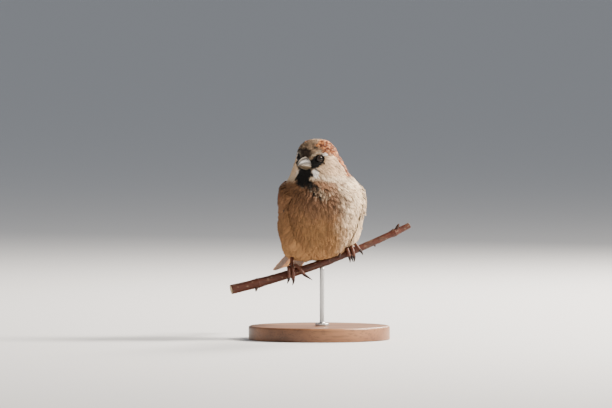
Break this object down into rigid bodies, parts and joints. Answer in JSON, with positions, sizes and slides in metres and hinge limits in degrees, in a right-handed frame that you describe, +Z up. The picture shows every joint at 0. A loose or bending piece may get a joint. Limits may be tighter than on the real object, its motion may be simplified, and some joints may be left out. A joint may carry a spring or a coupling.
{
  "type": "male house sparrow",
  "caption": "Fluffed-up male house sparrow gripping a short cut twig, head turned aside, held on one rod over a round wooden base.",
  "frame": {"origin": "middle of the round base's underside, on the table", "axes": "+Z up; the bird's trunk faces -Y and its left side is +X; the twig runs along X and rises towards +X; the head is turned 45 degrees to the bird's right"},
  "size_m": [0.1214, 0.1293, 0.1308],
  "materials": {
    "plumage": "soft matte feathers, buff and grey below, chestnut and black-streaked above, black bib",
    "quills": "smooth dark brown flight feathers with buff and chestnut edges",
    "bill": "satin grey horn, paler along the ridge and cutting edge",
    "eye": "polished dark brown",
    "legs": "satin scaly pinkish brown skin",
    "claws": "satin dark brown horn",
    "bark": "smooth dark reddish brown bark, pale cut ends",
    "stand_wood": "oiled, satin",
    "stand_metal": "satin"
  },
  "bodies": {
    "root": {"head": "plumage", "neck": "plumage", "trunk": "plumage", "thigh_left": "plumage", "thigh_right": "plumage", "wing_left_coverts": "plumage", "wing_left_quills": "quills", "wing_right_coverts": "plumage", "wing_right_quills": "quills", "tail": "quills", "bill_upper": "bill", "bill_lower": "bill", "eye_left": "eye", "eye_right": "eye", "tarsus_left": "legs", "toe_left_inner": "legs", "claw_left_inner": "claws", "toe_left_middle": "legs", "claw_left_middle": "claws", "toe_left_outer": "legs", "claw_left_outer": "claws", "toe_left_hind": "legs", "claw_left_hind": "claws", "tarsus_right": "legs", "toe_right_inner": "legs", "claw_right_inner": "claws", "toe_right_middle": "legs", "claw_right_middle": "claws", "toe_right_outer": "legs", "claw_right_outer": "claws", "toe_right_hind": "legs", "claw_right_hind": "claws", "perch": "bark", "stand_rod": "stand_metal", "stand_base": "stand_wood"}
  },
  "joints": []
}
